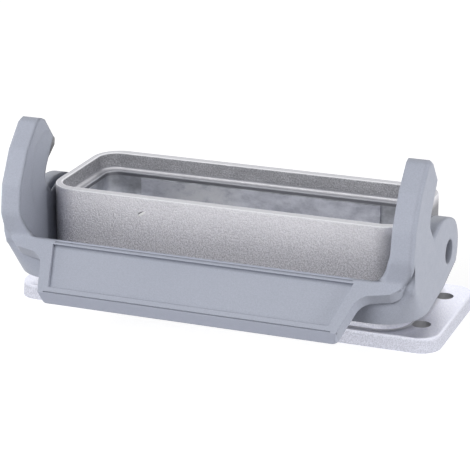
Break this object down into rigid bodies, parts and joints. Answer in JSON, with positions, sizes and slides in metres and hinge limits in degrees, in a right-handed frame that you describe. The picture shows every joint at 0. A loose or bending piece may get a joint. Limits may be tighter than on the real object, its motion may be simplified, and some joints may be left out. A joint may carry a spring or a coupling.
{
  "type": "rectangular connector base housing",
  "caption": "Rectangular heavy duty connector base with screw flange, open shell for a contact insert and one U-shaped locking lever, standing open.",
  "frame": {"origin": "middle of the flange's underside, at the centre of the four panel holes", "axes": "+X along the housing, +Z out of the panel; the lever's handle is on the -Y side"},
  "size_m": [0.0968, 0.0529, 0.0418],
  "materials": {
    "cast_metal": "bare die casting, finely blasted",
    "gasket_rubber": "matt black rubber",
    "lever_plastic": "satin blue-grey moulded plastic",
    "catch_steel": "bright stamped stainless steel"
  },
  "bodies": {
    "base": {"base_housing": "cast_metal", "flange_gasket": "gasket_rubber"},
    "lever": {"locking_lever": "lever_plastic", "lever_cam_left": "catch_steel", "lever_cam_right": "catch_steel"}
  },
  "joints": [
    {"name": "lever_pivot", "type": "hinge", "parent": "base", "child": "lever", "pos_m": [0, 0, 0.0171], "axis": [-1, 0, 0], "range_deg": [0, 45]}
  ]
}
